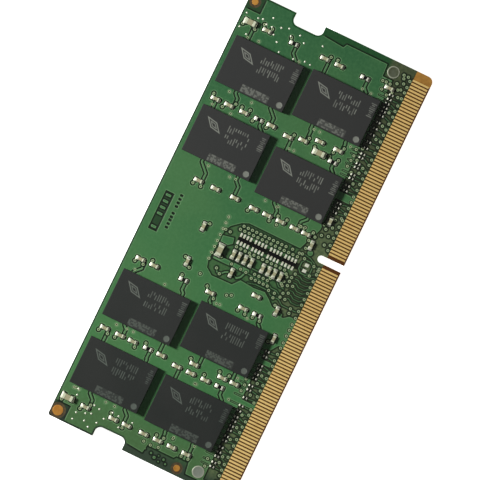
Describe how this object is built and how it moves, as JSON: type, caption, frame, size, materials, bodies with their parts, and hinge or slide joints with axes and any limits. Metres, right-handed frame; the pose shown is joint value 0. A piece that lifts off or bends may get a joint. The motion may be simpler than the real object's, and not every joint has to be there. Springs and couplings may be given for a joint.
{
  "type": "laptop memory module",
  "caption": "Short green circuit board with a keyed gold contact edge, latch notches at both ends and black memory packages on both faces.",
  "frame": {"origin": "centre of the bounding box at the height of the back packages' outer faces, on which the module lies", "axes": "+X along the contact edge, with the short row of contacts on the +X side of the key slot; +Y from the contact edge to the top edge; +Z out of the front face"},
  "size_m": [0.0696, 0.03, 0.0034],
  "materials": {
    "solder_mask": "satin green solder mask over copper and laminate",
    "laminate": "woven glass and epoxy, olive brown on its cut edge",
    "bare_copper": "bare copper, slightly dulled",
    "contact_gold": "hard gold over nickel, satin",
    "mould_compound": "fine-grained black epoxy, laser marked",
    "package_board": "dark green laminate",
    "silicon": "polished grey",
    "adhesive_film": "clear amber film",
    "resin": "glossy black resin",
    "gold_wire": "drawn gold wire",
    "solder": "matt tin solder",
    "capacitor_ceramic": "fired grey-brown ceramic",
    "tinned_metal": "matt tin plate",
    "resistor_glass": "black glass coat",
    "eeprom_mould": "black epoxy"
  },
  "bodies": {
    "root": {"solder_mask_front": "solder_mask", "copper_front": "bare_copper", "prepreg_front": "laminate", "ground_plane_front": "bare_copper", "core_front": "laminate", "signal_plane_front": "bare_copper", "inner_prepreg_front": "laminate", "power_plane_front": "bare_copper", "middle_core": "laminate", "power_plane_back": "bare_copper", "inner_prepreg_back": "laminate", "signal_plane_back": "bare_copper", "core_back": "laminate", "ground_plane_back": "bare_copper", "prepreg_back": "laminate", "copper_back": "bare_copper", "solder_mask_back": "solder_mask", "contacts_front": "contact_gold", "contacts_back": "contact_gold", "via_barrels": "bare_copper", "memory_chip_front_1": "mould_compound", "memory_chip_front_2": "mould_compound", "memory_chip_front_3": "mould_compound", "memory_chip_front_4": "mould_compound", "memory_chip_front_5": "mould_compound", "memory_chip_front_6": "mould_compound", "memory_chip_front_7": "mould_compound", "memory_chip_front_8": "mould_compound", "memory_chip_back_1": "mould_compound", "memory_chip_back_2": "mould_compound", "memory_chip_back_3": "mould_compound", "memory_chip_back_4": "mould_compound", "memory_chip_back_5": "mould_compound", "memory_chip_back_6": "mould_compound", "memory_chip_back_7": "mould_compound", "memory_chip_back_8": "mould_compound", "package_substrates_front": "package_board", "package_substrates_back": "package_board", "silicon_dies_front": "silicon", "silicon_dies_back": "silicon", "die_films": "adhesive_film", "bond_resin": "resin", "bond_wires": "gold_wire", "solder_balls_front": "solder", "solder_balls_back": "solder", "capacitor_bodies_front": "capacitor_ceramic", "capacitor_ends_front": "tinned_metal", "capacitor_bodies_back": "capacitor_ceramic", "capacitor_ends_back": "tinned_metal", "resistor_bodies_front": "resistor_glass", "resistor_ends_front": "tinned_metal", "resistor_bodies_back": "resistor_glass", "resistor_ends_back": "tinned_metal", "array_bodies": "resistor_glass", "array_leads": "tinned_metal", "eeprom_body": "eeprom_mould", "eeprom_leads": "tinned_metal", "copper_marks": "bare_copper", "tinned_discs": "tinned_metal"}
  },
  "joints": []
}
